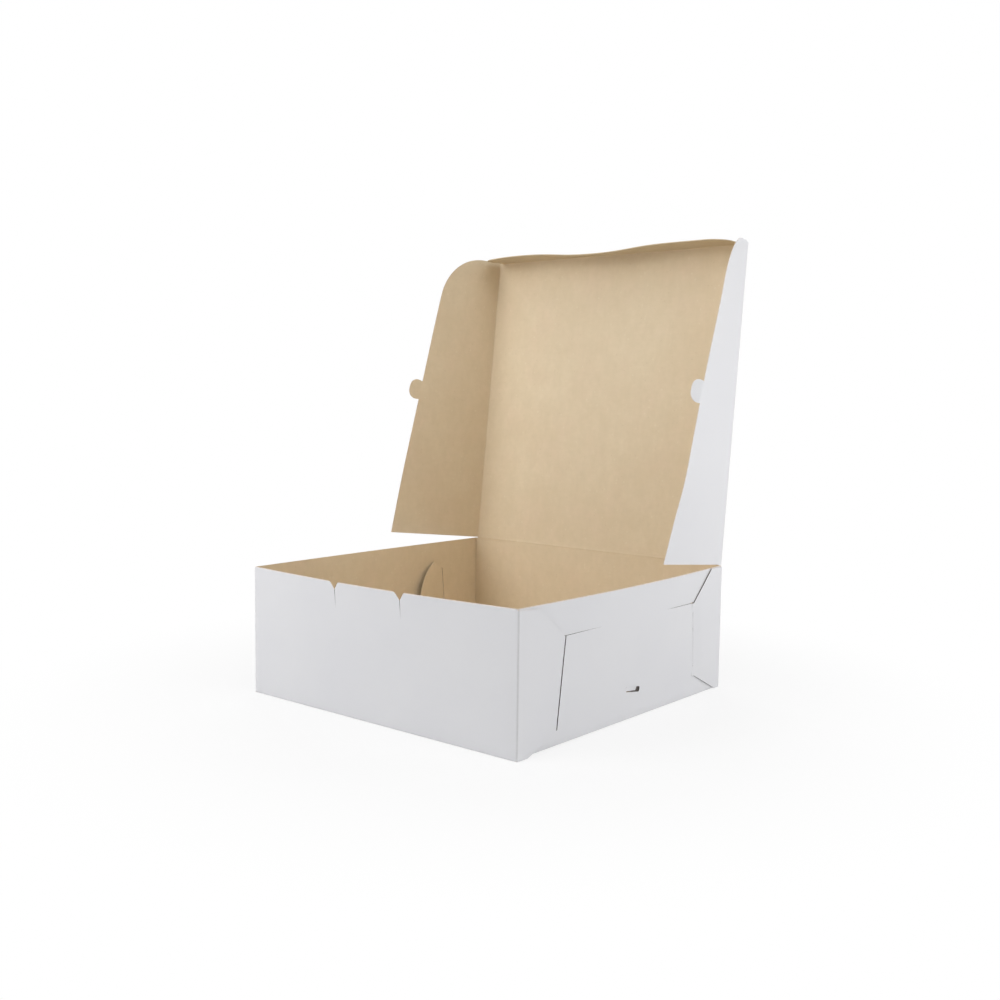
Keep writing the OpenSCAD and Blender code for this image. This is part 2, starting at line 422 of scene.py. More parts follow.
def wire(tree, node, **inputs):
    """Sets a node's inputs, by name or as i0, i1 and so on, to values or joins them to outputs."""
    for key, value in inputs.items():
        socket = node.inputs[int(key[1:])] if key[1:].isdigit() else node.inputs[key.replace("_", " ")]
        if isinstance(value, bpy.types.NodeSocket):
            tree.links.new(value, socket)
        else:
            socket.default_value = value


def add(tree, kind, settings=None, **inputs):
    """Adds a node with its settings and its inputs."""
    node = tree.nodes.new(kind)
    for key, value in (settings or {}).items():
        setattr(node, key, value)
    wire(tree, node, **inputs)
    return node


def new_material(name):
    """A material with its shader, and a vector in metres over the flat sheet."""
    material = bpy.data.materials.new(name)
    material.use_nodes = True
    tree = material.node_tree
    shader = tree.nodes["Principled BSDF"]
    where = add(tree, "ShaderNodeUVMap", {"uv_map": "sheet"}).outputs[0]
    return material, tree, shader, where


def noise(tree, where, scale, detail=2.0, stretch=(1, 1, 1)):
    """Noise over the sheet, from about 0 to 1."""
    turned = add(tree, "ShaderNodeMapping", Vector=where, Scale=stretch).outputs[0]
    made = add(tree, "ShaderNodeTexNoise", Vector=turned, Scale=scale, Detail=detail)
    return made.outputs["Fac"]


def ramp(tree, value, low, high, to_low=0.0, to_high=1.0):
    """A value stretched from one range to another and held inside it."""
    made = add(tree, "ShaderNodeMapRange", Value=value, From_Min=low, From_Max=high,
               To_Min=to_low, To_Max=to_high)
    return made.outputs[0]


def mix(tree, share, first, second):
    """Two colours mixed by a share."""
    made = add(tree, "ShaderNodeMix", {"data_type": "RGBA"}, i0=share, i6=first, i7=second)
    return made.outputs[2]


def math_node(tree, operation, first, second):
    """One sum on two values."""
    return add(tree, "ShaderNodeMath", {"operation": operation}, i0=first, i1=second).outputs[0]


def times(tree, first, second):
    """Product of two values."""
    return math_node(tree, "MULTIPLY", first, second)


def bump(tree, height, strength, distance, **over):
    """Normals roughened by a height, over another bump given as Normal."""
    made = add(tree, "ShaderNodeBump", Strength=strength, Distance=distance, Height=height, **over)
    return made.outputs[0]


# Patterns of noise over the sheet: scale per metre, detail, stretch, and the range that is used
EVEN = (1, 1, 1)
PATTERNS = {
    "clouds": (14.0, 3.0, EVEN, (0.3, 0.7)),
    "grain": (900.0, 2.0, (1, 0.35, 1), (0.25, 0.75)),
    "cracks": (260.0, 4.0, EVEN, (0.35, 0.6)),
    "blotches": (16.0, 4.0, EVEN, (0.3, 0.7)),
    "pink": (34.0, 2.0, EVEN, (0.45, 0.75)),
    "stains": (95.0, 3.0, (1, 0.6, 1), (0.3, 0.7)),
    "mottle": (210.0, 3.0, EVEN, (0.35, 0.65)),
    "fibres": (420.0, 4.0, (1, 0.16, 1), (0.3, 0.7)),
    "cross": (520.0, 3.0, (0.2, 1, 1), (0.35, 0.65)),
    "streaks": (700.0, 3.0, EVEN, (0.3, 0.7)),
    "shade_mottle": (500.0, 3.0, EVEN, (0.3, 0.7)),
}
# Slow waves of damp board: scale, detail and strength of the coat's and the kraft's
COCKLE_COAT = 30.0
COCKLE_KRAFT = 26.0
COCKLE_DETAIL = 2.0
COCKLE = 0.5
SPECK_CORE = 0.4


def pattern(tree, where, name, to_low=0.0, to_high=1.0):
    """One of the patterns, from to_low to to_high."""
    scale, detail, stretch, (low, high) = PATTERNS[name]
    return ramp(tree, noise(tree, where, scale, detail, stretch), low, high, to_low, to_high)


def specks(tree, where, scale, size, share):
    """Small spots: 1 in the middle of a random share of cells, 0 elsewhere."""
    cells = add(tree, "ShaderNodeTexVoronoi", Vector=where, Scale=scale)
    spot = ramp(tree, cells.outputs["Distance"], size, size * SPECK_CORE)
    picked = add(tree, "ShaderNodeSeparateColor", Color=cells.outputs["Color"]).outputs[0]
    chosen = math_node(tree, "LESS_THAN", picked, share)
    return times(tree, spot, chosen)


# White coat: the colours of its clouds, its grain and its cracked folds, and its gloss
COAT_DEEP = (0.685, 0.686, 0.708, 1)
COAT_PALE = (0.708, 0.708, 0.724, 1)
COAT_GRAIN = (0.62, 0.62, 0.63, 1)
COAT_GRAIN_SHARE = 0.05
COAT_WORN = (0.44, 0.43, 0.42, 1)
COAT_WORN_SHARE = 0.7
COAT_CRACKED = (0.7, 1.0)
COAT_ROUGH = (0.44, 0.54)


def white_board():
    """Matt white clay coat with faint clouds, a paper grain and cracked folds."""
    material, tree, shader, where = new_material("white_coat")
    clouds = pattern(tree, where, "clouds")
    grain = pattern(tree, where, "grain")
    colour = mix(tree, clouds, COAT_DEEP, COAT_PALE)
    colour = mix(tree, times(tree, grain, COAT_GRAIN_SHARE), colour, COAT_GRAIN)
    fold = add(tree, "ShaderNodeAttribute", {"attribute_name": "fold"}).outputs["Fac"]
    cracks = pattern(tree, where, "cracks", *COAT_CRACKED)
    worn = times(tree, times(tree, fold, cracks), COAT_WORN_SHARE)
    colour = mix(tree, worn, colour, COAT_WORN)
    waves = noise(tree, where, COCKLE_COAT, COCKLE_DETAIL)
    cockle = bump(tree, waves, strength=COCKLE, distance=0.0004)
    rough = bump(tree, grain, strength=0.25, distance=0.00008, Normal=cockle)
    gloss = ramp(tree, clouds, 0, 1, *COAT_ROUGH)
    wire(tree, shader, Base_Color=colour, Roughness=gloss, Specular_IOR_Level=0.3, Normal=rough)
    return material


# Kraft: its two base colours, the layers over them with their shares and colours, and its specks, with
# their scale, size, share of cells, strength and colour
KRAFT_DEEP = (0.747, 0.616, 0.440, 1)
KRAFT_PALE = (0.789, 0.666, 0.484, 1)
KRAFT_LAYERS = {
    "pink": (0.50, (0.788, 0.626, 0.466, 1)),
    "stains": (0.45, (0.692, 0.573, 0.396, 1)),
    "mottle": (0.22, (0.665, 0.556, 0.376, 1)),
    "fibres": (0.12, (0.840, 0.710, 0.504, 1)),
    "cross": (0.08, (0.665, 0.527, 0.341, 1)),
}
KRAFT_SPECKS = [
    (330.0, 0.26, 0.10, 0.16, (0.490, 0.355, 0.206, 1)),
    (270.0, 0.32, 0.10, 0.22, (0.880, 0.790, 0.620, 1)),
]
KRAFT_ROUGH = (0.74, 0.9)
KRAFT_NAP = 0.6
# Painted shade: a grey-brown mixed into kraft to darken it, the least share of it against the most, and the
# share on the front flap
KRAFT_SHADE_PAINT = (0.300, 0.270, 0.200, 1)
KRAFT_SHADE_LEAST = 0.8
TUCK_SHADE_SHARE = 0.31


def kraft_board(name, shade_share):
    """Brown kraft: blotches, fibres along the sheet, specks, and a share of painted shade."""
    material, tree, shader, where = new_material(name)
    blotches = pattern(tree, where, "blotches")
    layers = {layer: pattern(tree, where, layer) for layer in KRAFT_LAYERS}
    colour = mix(tree, blotches, KRAFT_DEEP, KRAFT_PALE)
    for layer, (share, paint) in KRAFT_LAYERS.items():
        colour = mix(tree, times(tree, layers[layer], share), colour, paint)
    for scale, size, cells, strength, paint in KRAFT_SPECKS:
        spots = specks(tree, where, scale, size, cells)
        colour = mix(tree, times(tree, spots, strength), colour, paint)
    # Painted shade mixed in, its share a little larger where the blotches are pale
    shade_mix = ramp(tree, blotches, 0, 1, shade_share * KRAFT_SHADE_LEAST, shade_share)
    colour = mix(tree, shade_mix, colour, KRAFT_SHADE_PAINT)
    waves = noise(tree, where, COCKLE_KRAFT, COCKLE_DETAIL)
    cockle = bump(tree, waves, strength=COCKLE, distance=0.0005)
    nap = math_node(tree, "ADD", layers["fibres"], times(tree, layers["cross"], KRAFT_NAP))
    rough = bump(tree, nap, strength=0.22, distance=0.0001, Normal=cockle)
    gloss = ramp(tree, layers["fibres"], 0, 1, *KRAFT_ROUGH)
    wire(tree, shader, Base_Color=colour, Roughness=gloss, Specular_IOR_Level=0.2, Normal=rough)
    return material


# Raw edges: the two colours of the pulp, and the two dark greys of the painted shade in narrow cuts
PULP_DEEP = (0.72, 0.635, 0.585, 1)
PULP_PALE = (0.80, 0.735, 0.695, 1)
PULP_ROUGH = (0.78, 0.92)
CUT_SHADE_DEEP = (0.085, 0.075, 0.070, 1)
CUT_SHADE_PALE = (0.15, 0.13, 0.12, 1)


def cut_edge():
    """Raw edge of the board: pale pulp between the coat and the kraft, streaked by the die."""
    material, tree, shader, where = new_material("cut_edge")
    streaks = pattern(tree, where, "streaks")
    colour = mix(tree, streaks, PULP_DEEP, PULP_PALE)
    rough = bump(tree, streaks, strength=0.3, distance=0.0001)
    gloss = ramp(tree, streaks, 0, 1, *PULP_ROUGH)
    wire(tree, shader, Base_Color=colour, Roughness=gloss, Normal=rough)
    return material


def shaded_cut():
    """Raw board in narrow cuts, drawn dark grey as painted shade."""
    material, tree, shader, where = new_material("shaded_cut")
    shade_mottle = pattern(tree, where, "shade_mottle")
    colour = mix(tree, shade_mottle, CUT_SHADE_DEEP, CUT_SHADE_PALE)
    rough = bump(tree, shade_mottle, strength=0.3, distance=0.0001)
    wire(tree, shader, Base_Color=colour, Roughness=0.9, Specular_IOR_Level=0.1, Normal=rough)
    return material


WHITE = white_board()
KRAFT = kraft_board("bare_kraft", 0.0)
# Kraft with painted shade, for the front flap's underside
SHADE_PAINTED_KRAFT = kraft_board("kraft_with_painted_shade", TUCK_SHADE_SHARE)
EDGE = cut_edge()
# Dark raw edge: painted shade in narrow cuts, on the wings' edges and on the slot waste
CUT = shaded_cut()


# Folds

def fold_up(s):
    """Where a point lies that is s past the start of a right-angled fold: out, up, and the turn there."""
    turn = min(max(s / FOLD_R, 0.0), math.pi / 2)
    out = min(s, 0.0) + FOLD_R * math.sin(turn)
    up = FOLD_R * (1 - math.cos(turn)) + max(s - FOLD_ARC, 0.0)
    return out, up, turn


def up_wall(z):
    """Distance along the sheet from the start of a wall's fold to a height."""
    return z - BOARD / 2 - FOLD_R + FOLD_ARC


def smooth(t):
    """0 below 0, 1 above 1 and an even bend between them."""
    t = min(max(t, 0.0), 1.0)
    return t * t * (3 - 2 * t)


def bell(t):
    """Round hump, 1 high at 0 and next to nothing from 2 away."""
    return math.exp(-t ** 2)


def soft_ramp(t, half):
    """0 below -half, t above half and a smooth bend between them, with its slope."""
    if t <= -half:
        return 0.0, 0.0
    if t >= half:
        return t, 1.0
    return (t + half) ** 2 / (4 * half), (t + half) / (2 * half)


def crease_place(line, first, second, first_in, second_in, emboss=0.0):
    """Places a strip over a crease: before it along first, past it along second(along)."""
    def place(t, along):
        bend, share = soft_ramp(t, CREASE_ROUND)
        normal = first_in * (1 - share) + second_in(along) * share
        normal.normalize()
        wave = 1 - BEAD_WAVE + BEAD_WAVE * math.sin(along / BEAD_PITCH)
        bead = emboss * bell(t / BEAD_W) * wave
        point = line(along) + first * (t - bend) + second(along) * bend + normal * bead
        return point, normal, bell(t / CREASE_WEAR_W)
    return place


def bow(wall, along, z):
    """How far a wall's face stands out at a place along it and a height."""
    return BOW[wall] * math.cos(math.pi * along / (2 * HALF)) * (max(z, 0.0) / WALL_H) ** BOW_POWER


def base_lift(x, y, z):
    """How far the sheet stands off the floor near the base's right edge, less and less to the back."""
    across = max(x - BASE_W + BASE_LIFT_W, 0.0) / BASE_LIFT_W
    along = smooth((y + BASE_D) / WING_FOOT["front"]) * (BASE_D - y) / (2 * BASE_D)
    return BASE_LIFT * across ** 2 * along * max(1 - z / BASE_LIFT_H, 0.0) ** 2


def side_name(side):
    """Name of a side, -1 or 1 across the box."""
    return "right" if side > 0 else "left"


def end_name(end):
    """Name of an end, -1 or 1 along the box."""
    return "back" if end > 0 else "front"


def corner_name(side, end):
    """Name of a corner."""
    return f"{end_name(end)}_{side_name(side)}"


# Tray: base with the front and back walls

BASE_LINES = steps(-BASE_D, BASE_D, GRID)
FOLD_ROWS = [FOLD_ARC * i / FOLD_STEPS for i in range(1, FOLD_STEPS + 1)]
WALL_ROWS = steps(FOLD_ARC, up_wall(WALL_H - WING_DROP), GRID)
WALL_LOW = BOARD / 2 + FOLD_R
WALL_S = up_wall(WALL_H)


def notch_points(at):
    """Top edge of the front wall across one notch, from left to right: soft shoulder, V, sharp shoulder."""
    top = -BASE_D - WALL_S
    foot = top + NOTCH_DEPTH
    slit = NOTCH_SLIT_W / 2
    soft = [(at - NOTCH_W / 2 + past, top + deep) for past, deep in NOTCH_SOFT]
    vee = [(at - slit, foot), (at, foot + NOTCH_SLIT), (at + slit, foot)]
    sharp = [(at + NOTCH_W / 2 + past, top + deep) for past, deep in NOTCH_SHARP]
    return soft + vee + sharp


def end_walls_outline():
    """Flat outline of the front wall, base and back wall, counter-clockwise from the front's top left."""
    top = BASE_D + WALL_S
    hinge = BASE_D + up_wall(HINGE.z - CREASE)
    fold = BASE_D + FOLD_ARC
    right = [(BASE_D, -top), (BASE_D, -fold), (BASE_W, -BASE_D), (BASE_W, BASE_D),
             (BASE_D, fold), (BASE_D, top), (LID_HALF, top), (LID_HALF, hinge)]
    notches = notch_points(-NOTCH_PITCH / 2) + notch_points(NOTCH_PITCH / 2)
    left = [(-u, v) for u, v in reversed(right)]
    return notches + right + left


def end_walls_place(u, v):
    """Places the base with the front and back walls folded up and bowed."""
    end = 1 if v > 0 else -1
    out, up, turn = fold_up(abs(v) - BASE_D)
    z = BOARD / 2 + up
    bowed = bow(end_name(end), u, z) * math.sin(turn)
    normal = Vector((0, -end * math.sin(turn), math.cos(turn)))
    y = end * (BASE_D + out + bowed)
    return Vector((u, y, z + base_lift(u, y, z))), normal, math.sin(2 * turn) * BASE_WEAR


def end_walls_seam(u, v):
    """True where the side walls and the wings go on."""
    on_base = abs(abs(u) - BASE_W) < NEAR and abs(v) < BASE_D + NEAR
    z = abs(v) - BASE_D - FOLD_ARC
    on_wing = abs(abs(u) - BASE_D) < NEAR and -NEAR < z < WALL_ROWS[-1] - FOLD_ARC + NEAR
    return on_base or on_wing


def notch_cut(u, v):
    """True in the slits below the front wall's notches."""
    down = v + BASE_D + WALL_S
    return v < 0 and abs(u) < NOTCH_PITCH and NOTCH_DEPTH < down < WALL_S


def end_walls():
    """The base with the front and back walls."""
    up = FOLD_ROWS + WALL_ROWS[1:]
    rows = [-BASE_D - s for s in reversed(up)] + BASE_LINES + [BASE_D + s for s in up]
    return {
        "outline": end_walls_outline(), "columns": BASE_LINES, "rows": rows,
        "place": end_walls_place, "seam": end_walls_seam, "origin": (0, 0),
        "crushed": lambda u, v: abs(v) > BASE_D + WALL_S - NEAR, "shaded": notch_cut,
    }


# Tray: side walls

def slit_foot(end):
    """Lower end of a locking slit's open part."""
    rise = SLIT_FOOT_RISE[end_name(end)]
    slope = (SLIT_HEAD[0] - SLIT_FOOT[0]) / (SLIT_HEAD[1] - SLIT_FOOT[1])
    return SLIT_FOOT[0] + rise * slope, SLIT_FOOT[1] + rise


def slit_hole(side, end):
    """Locking slit of one wing with the level cut that runs on from its upper end and closes."""
    foot, head = slit_foot(end), SLIT_HEAD
    far = SLIT_FAR[corner_name(side, end)]
    width = SLIT_CUT_W[corner_name(side, end)]
    points = [
        (foot[0] - SLIT_NEAR, foot[1] - NECK_GAP), (foot[0] + far, foot[1] - NECK_GAP),
        (head[0] + far, head[1]), (head[0] + SLIT_RETURN, head[1] + width),
        (head[0] - SLIT_NEAR, head[1] + width),
    ]
    return [(end * (HALF - y), up_wall(z)) for y, z in points]


def free_edge(s):
    """Distance of a lid flap's free edge from its fold."""
    return FLAP_W - (s - FLAP_GAP) * math.tan(FLAP_TAPER)


SLOT_S = up_wall(HINGE.z - free_edge(TAB_AT)) + SLOT_UP
SLOT_R = SLOT_H / 3


def on_slot(y, h):
    """Place on a side wall of a point drawn from the slot's middle, along the closed flap's edge."""
    cos, sin = math.cos(FLAP_TAPER), math.sin(FLAP_TAPER)
    return TAB_SHIFT + y * cos + h * sin, SLOT_S + h * cos - y * sin


def slot_hole():
    """Slot that a lid flap's tab goes through."""
    points = []
    for u, v, start in ((1, 1, 0), (-1, 1, 90), (-1, -1, 180), (1, -1, 270)):
        centre = (u * (SLOT_L / 2 - SLOT_R), v * (SLOT_H / 2 - SLOT_R))
        points += arc(centre, SLOT_R, start, start + 90, 0.6)
    return [on_slot(y, h) for y, h in points]


def side_wall_place(side):
    """Places a side wall folded up and bowed."""
    def place(v, s):
        out, up, turn = fold_up(s)
        z = BOARD / 2 + up
        x = BASE_W + out + bow(side_name(side), v, z) * math.sin(turn)
        normal = Vector((-side * math.sin(turn), 0, math.cos(turn)))
        point = Vector((side * x, v, z + base_lift(side * x, v, z)))
        return point, normal, math.sin(2 * turn) * BASE_WEAR
    return place


def side_wall(side):
    """One side wall with its two locking slits and its slot."""
    end = BASE_D + SIDE_OVER
    outline = [(-BASE_D, 0), (BASE_D, 0), (end, FOLD_ARC), (end, WALL_S), (-end, WALL_S), (-end, FOLD_ARC)]

    def cuts(v, s):
        return side > 0 and abs(v) < BASE_D - CUT_INSET and FOLD_ARC < s < WALL_S - CUT_INSET

    return {
        "outline": outline, "columns": BASE_LINES, "rows": FOLD_ROWS + steps(FOLD_ARC, WALL_S, GRID)[1:],
        "holes": [slit_hole(side, -1), slit_hole(side, 1), slot_hole()],
        "place": side_wall_place(side), "seam": lambda v, s: s < NEAR, "shaded": cuts,
        "crushed": lambda v, s: s > WALL_S - NEAR, "origin": (side * SHEET_SIDE, 0),
    }


# Slot waste piece: held at its front end and pushed in at its back end; its back end and lower edge are
# drawn dark as painted shade

WASTE_PUSH = 0.9
WASTE_PUSH_POWER = 0.6
WASTE_OVER = 0.7
WASTE_WIDER = 0.3
WASTE_BACK = 2.0
WASTE_SHADE_END = 3.6
WASTE_SHADE_SLANT = 0.4
WASTE_SHADE_LOW = 1.0
WASTE_SHADE_EASE = 0.4
WASTE_GRID = (0.5, 0.4)
# Points of its held end, in from the slot's end and from the slot's lower or upper edge
WASTE_LOWER = [(0.1, 1.2), (0.6, 0.4)]
WASTE_UPPER = [(1.2, 0.05), (0.1, 1.2)]


def slot_waste(side):
    """The piece that was cut out for a slot."""
    wall = side_wall_place(side)
    half_l, half_h = SLOT_L / 2, SLOT_H / 2
    far, wide = half_l + WASTE_OVER, half_h + WASTE_WIDER
    back = half_l - WASTE_BACK
    lower = [(y - half_l, h - half_h) for y, h in WASTE_LOWER]
    upper = [(y - half_l, half_h - h) for y, h in WASTE_UPPER]

    def place(y, h):
        point, normal, _ = wall(*on_slot(y, h))
        share = (y + half_l) / SLOT_L
        return point + normal * WASTE_PUSH * share ** WASTE_PUSH_POWER, normal, 0.0

    # Where the white face is drawn dark as painted shade: its back end and a strip along its lower edge
    def in_painted_shade(y, h):
        share = 1 - WASTE_SHADE_EASE + WASTE_SHADE_EASE * (y + half_l) / SLOT_L
        return y > half_l - WASTE_SHADE_END + WASTE_SHADE_SLANT * h or h < -half_h + WASTE_SHADE_LOW * share

    return {
        "outline": lower + [(back, -wide), (far, -wide), (far, wide), (back, wide)] + upper,
        "columns": steps(-half_l, far, WASTE_GRID[0]), "rows": steps(-wide, wide, WASTE_GRID[1]),
        "place": place, "shaded": lambda y, h: True, "painted_shade_face": in_painted_shade,
        "origin": (side * SHEET_SIDE + SHEET_WASTE[0], SHEET_WASTE[1]),
    }


# Corner wings, wrapped round the side walls, and the tongues that hook through their slits

SLANT = math.atan2(SLIT_HEAD[0] - SLIT_FOOT[0], SLIT_HEAD[1] - SLIT_FOOT[1])
SLIT_HALF = math.dist(SLIT_FOOT, SLIT_HEAD) / 2
SLIT_MIDDLE = ((SLIT_FOOT[0] + SLIT_HEAD[0]) / 2, (SLIT_FOOT[1] + SLIT_HEAD[1]) / 2)


def past_slit(y, z):
    """Distance of a place on a wing past its locking slit."""
    return (y - SLIT_MIDDLE[0]) * math.cos(SLANT) - (z - SLIT_MIDDLE[1]) * math.sin(SLANT)


def wing_lift(end, y, z):
    """How far a wing's free corners, above and below its slit, stand off the side wall."""
    foot = slit_foot(end)[1]
    above = (z - SLIT_HEAD[1]) / (WALL_H - SLIT_HEAD[1])
    below = (foot - z) / foot
    out = min(max(y - CORNER, 0.0) / WING_TOP, 1.0)
    return WING_LIFT[end_name(end)] * max(above, below, 0.0) * out ** WING_LIFT_POWER


def wing_sunk(side, end, y, z):
    """How far a wing is pressed into the side wall before its slit."""
    ends = smooth((SLIT_HEAD[1] - z) / SUNK_END) * smooth((z - slit_foot(end)[1]) / SUNK_END)
    return WING_SUNK[corner_name(side, end)] * ends * smooth((past_slit(y, z) + SUNK_RUN) / SUNK_RUN)


def wing_place(side, end):
    """Places a wing: round the corner from the end wall, along the side wall and in through the slit."""
    def place(y, z):
        turn = min((y - CORNER + FOLD_ARC) / FOLD_R, math.pi / 2)
        dive, slope = 0.0, 0.0
        if turn < math.pi / 2:
            x = BASE_D + FOLD_R * math.sin(turn)
            depth = BASE_D + FOLD_R * math.cos(turn)
        else:
            past = past_slit(y, z) - WING_DELAY[corner_name(side, end)]
            first, slope_in = soft_ramp(past, JOG_ROUND)
            second, slope_out = soft_ramp(past - JOG, JOG_ROUND)
            dive, slope = first - second, slope_in - slope_out
            depth = HALF - y
            x = BASE_D + FOLD_R - dive - wing_sunk(side, end, y, z)
        x += bow(side_name(side), depth, z) * math.sin(turn) + wing_lift(end, y, z)
        depth += bow(end_name(end), x, z) * math.cos(turn)
        normal = Vector((-side * math.sin(turn), -end * (math.cos(turn) - slope), 0))
        normal.normalize()
        return Vector((side * x, end * depth, z)), normal, math.sin(2 * turn) * CORNER_WEAR
    return place


def wing_outline(end):
    """Corner wing from the end wall's edge to just inside its slit."""
    start = CORNER - FOLD_ARC
    top = WALL_H - WING_DROP
    end_top = top - WING_SLOPE[end_name(end)]
    soft = WING_SOFT[end_name(end)]
    toe = [(WING_FOOT[end_name(end)] + past, WING_FOOT_GAP + up) for past, up in WING_FOOT_ROUND]
    neck_y, neck_z = slit_foot(end)
    return [
        (start, WALL_LOW), (start + WING_FOOT_START, WING_FOOT_GAP), *toe,
        (neck_y - NECK_GAP, neck_z), (neck_y + NECK, neck_z),
        (SLIT_HEAD[0] + NECK, SLIT_HEAD[1]), (SLIT_HEAD[0] - NECK_GAP, SLIT_HEAD[1]),
        (WING_TOP + soft, end_top - soft), (WING_TOP - soft / 2, end_top), (start, top),
    ]


def wing(side, end):
    """One corner wing, with its cut edges drawn dark as painted shade where they lie on the side wall."""
    start = CORNER - FOLD_ARC
    bend = [start + FOLD_ARC * i / FOLD_STEPS for i in range(FOLD_STEPS + 1)]

    def on_wall(y, z):
        return y > WING_TOP or CORNER < y and z < WALL_H / 2

    return {
        "outline": wing_outline(end), "columns": bend + steps(CORNER, SLIT_HEAD[0] + NECK, WING_GRID)[1:],
        "rows": [s - FOLD_ARC + WALL_LOW for s in WALL_ROWS],
        "place": wing_place(side, end), "seam": lambda y, z: y < start + NEAR,
        "shaded": on_wall, "origin": (side * SHEET_SIDE, end * SHEET_WING),
    }


def tongue_place(side, end):
    """Places a tongue, drawn past its slit and along it, inside the side wall."""
    def place(past, along):
        y = SLIT_MIDDLE[0] + past * math.cos(SLANT) + along * math.sin(SLANT)
        z = SLIT_MIDDLE[1] - past * math.sin(SLANT) + along * math.cos(SLANT)
        run = max(past - JOG, 0.0) / (TONGUE_REACH - JOG)
        lift = TONGUE_LIFT * run ** TONGUE_LIFT_POWER
        slope = TONGUE_LIFT * TONGUE_LIFT_POWER * run ** (TONGUE_LIFT_POWER - 1) / (TONGUE_REACH - JOG)
        depth = HALF - y
        x = BASE_D + FOLD_R - JOG - lift + bow(side_name(side), depth, z)
        normal = Vector((-side, end * slope, 0)).normalized()
        return Vector((side * x, end * depth, z)), normal, 0.0
    return place


def tongue(side, end):
    """Round head with a hook at each end, taller than the slit."""
    hook = SLIT_HALF + HOOK_RISE
    bulge = TONGUE_REACH - HOOK_RUN
    radius = (hook ** 2 + bulge ** 2) / (2 * bulge)
    centre = (TONGUE_REACH - radius, 0)
    tip = math.degrees(math.atan2(hook, HOOK_RUN - centre[0]))
    root = SLIT_HALF - TONGUE_SLACK
    outline = [(JOG, root), (JOG, -root)] + arc(centre, radius, -tip, tip, TONGUE_GRID)
    return {
        "outline": outline, "columns": steps(JOG, TONGUE_REACH, TONGUE_GRID),
        "rows": steps(-hook, hook, GRID), "place": tongue_place(side, end),
        "origin": (side * SHEET_SIDE, end * SHEET_WING),
    }


# Lid panel and its flaps

def lid_line(x, s):
    """A place on the lid, across it and up from its hinge."""
    return Vector((x, HINGE.y, HINGE.z)) + LID_UP * s


def fold_x(side):
    """Place across the lid of a side flap's fold."""
    return side * (LID_HALF + FOLD_OUT[side_name(side)])


def lid_panel():
    """The lid between its four creases."""
    left = fold_x(-1) + CREASE
    right = fold_x(1) - CREASE
    top = LID_LEN - CREASE
    end = LID_LEN - FLAP_GAP
    outline = [(left, CREASE), (right, CREASE), (right, end), (TUCK_HALF, end), (TUCK_HALF, top),
               (-TUCK_HALF, top), (-TUCK_HALF, end), (left, end)]
    return {
        "outline": outline, "columns": steps(left, right, GRID), "rows": steps(CREASE, top, GRID),
        "place": lambda x, s: (lid_line(x, s), LID_IN.copy(), 0.0), "origin": (0, SHEET_LID),
    }


def through(knots, at):
    """Smooth curve through knots of place and value."""
    places, values = np.array(knots, float).T
    slopes = np.gradient(values, places)
    i = int(np.clip(np.searchsorted(places, at) - 1, 0, len(places) - 2))
    span = places[i + 1] - places[i]
    t = (at - places[i]) / span
    ends = values[i] * (1 + 2 * t) * (1 - t) ** 2 + values[i + 1] * t * t * (3 - 2 * t)
    return ends + span * t * (1 - t) * (slopes[i] * (1 - t) - slopes[i + 1] * t)


def flap_turn(side, s):
    """Angle from the lid to a side flap, which springs open and twists along its fold."""
    return math.radians(through(FLAP_TURNS[side_name(side)], s))


def flap_way(side):
    """Direction from a side flap's fold to its free edge, and the flap's inward direction."""
    def out(s, more=0.0):
        turn = flap_turn(side, s) + more
        return X * side * math.cos(turn) + LID_IN * math.sin(turn)

    def inward(s):
        turn = flap_turn(side, s)
        return X * -side * math.sin(turn) + LID_IN * math.cos(turn)

    return out, inward


def tab_outline():
    """Locking tab on a flap's free edge: a neck under a round head."""
    half = TAB_L / 2
    neck = half - TAB_UNDERCUT
    upper = arc((TAB_REACH - TAB_R, half - TAB_R), TAB_R, 0, 90)
    upper += [(TAB_NECK + TAB_EASE, half), (TAB_NECK - TAB_EASE, neck + TAB_EASE), (0, neck)]
    points = [(a, -s) for a, s in reversed(upper)] + upper
    middle = TAB_AT + TAB_RAISE
    root = free_edge(middle)
    cos, sin = math.cos(FLAP_TAPER), math.sin(FLAP_TAPER)
    return [(root + a * cos - s * sin, middle + a * sin + s * cos) for a, s in points]


def flap_outline(side):
    """Side flap: tapered free edge with its tab, and a large round front corner."""
    stop = LID_LEN - FLAP_GAP
    rise = TOP_RISE[side_name(side)]
    arc_s = stop - FLAP_ROUND
    arc_a = free_edge(arc_s) - FLAP_ROUND / math.cos(FLAP_TAPER)
    back = [(CREASE, FLAP_BACK_GAP), (FLAP_W, FLAP_BACK_GAP)]
    front = arc((arc_a, arc_s), FLAP_ROUND, math.degrees(FLAP_TAPER), 90, FLAP_ROUND_GRID)
    top = [(TOP_EASE[0], stop + rise * TOP_EASE[1]), (CREASE, stop + rise)]
    return back + tab_outline() + front + top


def top_hump(a, s):
    """How far the left flap's top corner, held by the two folds beside it, bulges inwards."""
    along = bell((s - LID_LEN + HUMP_AT[1]) / HUMP_W[1])
    across = bell((a - HUMP_AT[0]) / HUMP_W[0])
    return HUMP * along * across * (1 - bell((a - CREASE) / HUMP_HELD))


def flap_place(side):
    """Places a side flap, with its tab bent and, on the left, its top corner bulged."""
    out, inward = flap_way(side)

    def place(a, s):
        bent, _ = soft_ramp(a - free_edge(s) - TAB_NECK / 2, TAB_NECK / 2)
        point = lid_line(fold_x(side), s) + out(s) * (a - bent) + out(s, TAB_BEND[side_name(side)]) * bent
        if side < 0:
            point += inward(s) * top_hump(a, s)
        return point, inward(s), 0.0

    return place


